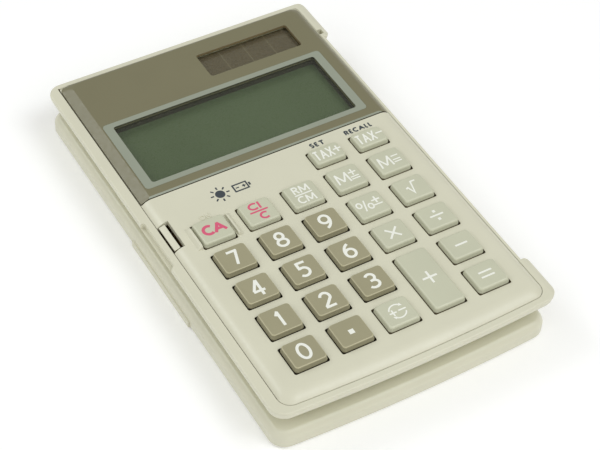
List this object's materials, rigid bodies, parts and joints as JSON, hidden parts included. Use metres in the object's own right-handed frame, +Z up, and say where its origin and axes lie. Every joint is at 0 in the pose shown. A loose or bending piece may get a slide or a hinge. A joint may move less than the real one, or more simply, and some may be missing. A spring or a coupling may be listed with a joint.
{
  "type": "desk calculator",
  "caption": "Slim dual-power calculator with sprung keys, liquid crystal display, solar cell and a hard cover that folds round under the body on a two-axis hinge.",
  "frame": {"origin": "middle of the overall box, at table level, with the cover folded under the body", "axes": "+Y from the front edge to the display end, +X to the hinge side, +Z up through the keys"},
  "size_m": [0.0868, 0.1386, 0.0176],
  "materials": {
    "case": "fine spark texture, cream",
    "function_keys": "satin, pale green grey",
    "number_keys": "satin, taupe",
    "panel": "semi-gloss taupe",
    "window": "clear",
    "lcd_glass": "clear, green-grey",
    "reflector": "diffuse",
    "dark_plastic": "matte",
    "cable_film": "amber film with carbon tracks",
    "solar_silicon": "amorphous silicon on glass, in four cells",
    "wire": "insulated",
    "board": "paper laminate",
    "resin": "poured resin",
    "capacitor_sleeve": "sleeved",
    "screw_steel": "zinc plated",
    "keypad_rubber": "silicone",
    "cell_steel": "nickel plated",
    "contact_brass": "plated strip"
  },
  "bodies": {
    "body": {"lower_case": "case", "top_case": "case", "display_panel": "panel", "display_window": "window", "solar_window": "window", "lcd_front_glass": "lcd_glass", "lcd_rear_glass": "lcd_glass", "lcd_reflector": "reflector", "lcd_holder": "dark_plastic", "flat_cable": "cable_film", "solar_cell": "solar_silicon", "solar_leads": "wire", "circuit_board": "board", "control_chip": "resin", "capacitor": "capacitor_sleeve", "board_screws": "screw_steel", "rubber_keypad": "keypad_rubber", "button_cell": "cell_steel", "positive_contact": "contact_brass", "negative_contact": "contact_brass", "battery_door": "case", "door_screw": "screw_steel", "case_screws": "screw_steel"},
    "link": {"hinge_link": "case"},
    "cover": {"cover": "case"},
    "key_tax_plus": {"key_tax_plus": "function_keys"},
    "key_tax_minus": {"key_tax_minus": "function_keys"},
    "key_clear_all": {"key_clear_all": "function_keys"},
    "key_clear": {"key_clear": "function_keys"},
    "key_memory_recall": {"key_memory_recall": "function_keys"},
    "key_memory_plus": {"key_memory_plus": "function_keys"},
    "key_memory_minus": {"key_memory_minus": "function_keys"},
    "key_7": {"key_7": "number_keys"},
    "key_8": {"key_8": "number_keys"},
    "key_9": {"key_9": "number_keys"},
    "key_percent": {"key_percent": "function_keys"},
    "key_square_root": {"key_square_root": "function_keys"},
    "key_4": {"key_4": "number_keys"},
    "key_5": {"key_5": "number_keys"},
    "key_6": {"key_6": "number_keys"},
    "key_multiply": {"key_multiply": "function_keys"},
    "key_divide": {"key_divide": "function_keys"},
    "key_1": {"key_1": "number_keys"},
    "key_2": {"key_2": "number_keys"},
    "key_3": {"key_3": "number_keys"},
    "key_plus": {"key_plus": "function_keys"},
    "key_minus": {"key_minus": "function_keys"},
    "key_0": {"key_0": "number_keys"},
    "key_decimal": {"key_decimal": "number_keys"},
    "key_sign": {"key_sign": "function_keys"},
    "key_equals": {"key_equals": "function_keys"}
  },
  "joints": [
    {"name": "body_hinge", "type": "hinge", "parent": "body", "child": "link", "pos_m": [0.0408, 0, 0.01015], "axis": [0, -1, 0], "range_deg": [0, 180]},
    {"name": "cover_hinge", "type": "hinge", "parent": "link", "child": "cover", "pos_m": [0.0408, 0, 0.0028], "axis": [0, -1, 0], "range_deg": [0, 180]},
    {"name": "key_tax_plus_press", "type": "slide", "parent": "body", "child": "key_tax_plus", "axis": [0, 0, -1], "range_m": [0, 0.001], "stiffness_N_per_m": 600},
    {"name": "key_tax_minus_press", "type": "slide", "parent": "body", "child": "key_tax_minus", "axis": [0, 0, -1], "range_m": [0, 0.001], "stiffness_N_per_m": 600},
    {"name": "key_clear_all_press", "type": "slide", "parent": "body", "child": "key_clear_all", "axis": [0, 0, -1], "range_m": [0, 0.001], "stiffness_N_per_m": 600},
    {"name": "key_clear_press", "type": "slide", "parent": "body", "child": "key_clear", "axis": [0, 0, -1], "range_m": [0, 0.001], "stiffness_N_per_m": 600},
    {"name": "key_memory_recall_press", "type": "slide", "parent": "body", "child": "key_memory_recall", "axis": [0, 0, -1], "range_m": [0, 0.001], "stiffness_N_per_m": 600},
    {"name": "key_memory_plus_press", "type": "slide", "parent": "body", "child": "key_memory_plus", "axis": [0, 0, -1], "range_m": [0, 0.001], "stiffness_N_per_m": 600},
    {"name": "key_memory_minus_press", "type": "slide", "parent": "body", "child": "key_memory_minus", "axis": [0, 0, -1], "range_m": [0, 0.001], "stiffness_N_per_m": 600},
    {"name": "key_7_press", "type": "slide", "parent": "body", "child": "key_7", "axis": [0, 0, -1], "range_m": [0, 0.001], "stiffness_N_per_m": 600},
    {"name": "key_8_press", "type": "slide", "parent": "body", "child": "key_8", "axis": [0, 0, -1], "range_m": [0, 0.001], "stiffness_N_per_m": 600},
    {"name": "key_9_press", "type": "slide", "parent": "body", "child": "key_9", "axis": [0, 0, -1], "range_m": [0, 0.001], "stiffness_N_per_m": 600},
    {"name": "key_percent_press", "type": "slide", "parent": "body", "child": "key_percent", "axis": [0, 0, -1], "range_m": [0, 0.001], "stiffness_N_per_m": 600},
    {"name": "key_square_root_press", "type": "slide", "parent": "body", "child": "key_square_root", "axis": [0, 0, -1], "range_m": [0, 0.001], "stiffness_N_per_m": 600},
    {"name": "key_4_press", "type": "slide", "parent": "body", "child": "key_4", "axis": [0, 0, -1], "range_m": [0, 0.001], "stiffness_N_per_m": 600},
    {"name": "key_5_press", "type": "slide", "parent": "body", "child": "key_5", "axis": [0, 0, -1], "range_m": [0, 0.001], "stiffness_N_per_m": 600},
    {"name": "key_6_press", "type": "slide", "parent": "body", "child": "key_6", "axis": [0, 0, -1], "range_m": [0, 0.001], "stiffness_N_per_m": 600},
    {"name": "key_multiply_press", "type": "slide", "parent": "body", "child": "key_multiply", "axis": [0, 0, -1], "range_m": [0, 0.001], "stiffness_N_per_m": 600},
    {"name": "key_divide_press", "type": "slide", "parent": "body", "child": "key_divide", "axis": [0, 0, -1], "range_m": [0, 0.001], "stiffness_N_per_m": 600},
    {"name": "key_1_press", "type": "slide", "parent": "body", "child": "key_1", "axis": [0, 0, -1], "range_m": [0, 0.001], "stiffness_N_per_m": 600},
    {"name": "key_2_press", "type": "slide", "parent": "body", "child": "key_2", "axis": [0, 0, -1], "range_m": [0, 0.001], "stiffness_N_per_m": 600},
    {"name": "key_3_press", "type": "slide", "parent": "body", "child": "key_3", "axis": [0, 0, -1], "range_m": [0, 0.001], "stiffness_N_per_m": 600},
    {"name": "key_plus_press", "type": "slide", "parent": "body", "child": "key_plus", "axis": [0, 0, -1], "range_m": [0, 0.001], "stiffness_N_per_m": 600},
    {"name": "key_minus_press", "type": "slide", "parent": "body", "child": "key_minus", "axis": [0, 0, -1], "range_m": [0, 0.001], "stiffness_N_per_m": 600},
    {"name": "key_0_press", "type": "slide", "parent": "body", "child": "key_0", "axis": [0, 0, -1], "range_m": [0, 0.001], "stiffness_N_per_m": 600},
    {"name": "key_decimal_press", "type": "slide", "parent": "body", "child": "key_decimal", "axis": [0, 0, -1], "range_m": [0, 0.001], "stiffness_N_per_m": 600},
    {"name": "key_sign_press", "type": "slide", "parent": "body", "child": "key_sign", "axis": [0, 0, -1], "range_m": [0, 0.001], "stiffness_N_per_m": 600},
    {"name": "key_equals_press", "type": "slide", "parent": "body", "child": "key_equals", "axis": [0, 0, -1], "range_m": [0, 0.001], "stiffness_N_per_m": 600}
  ]
}
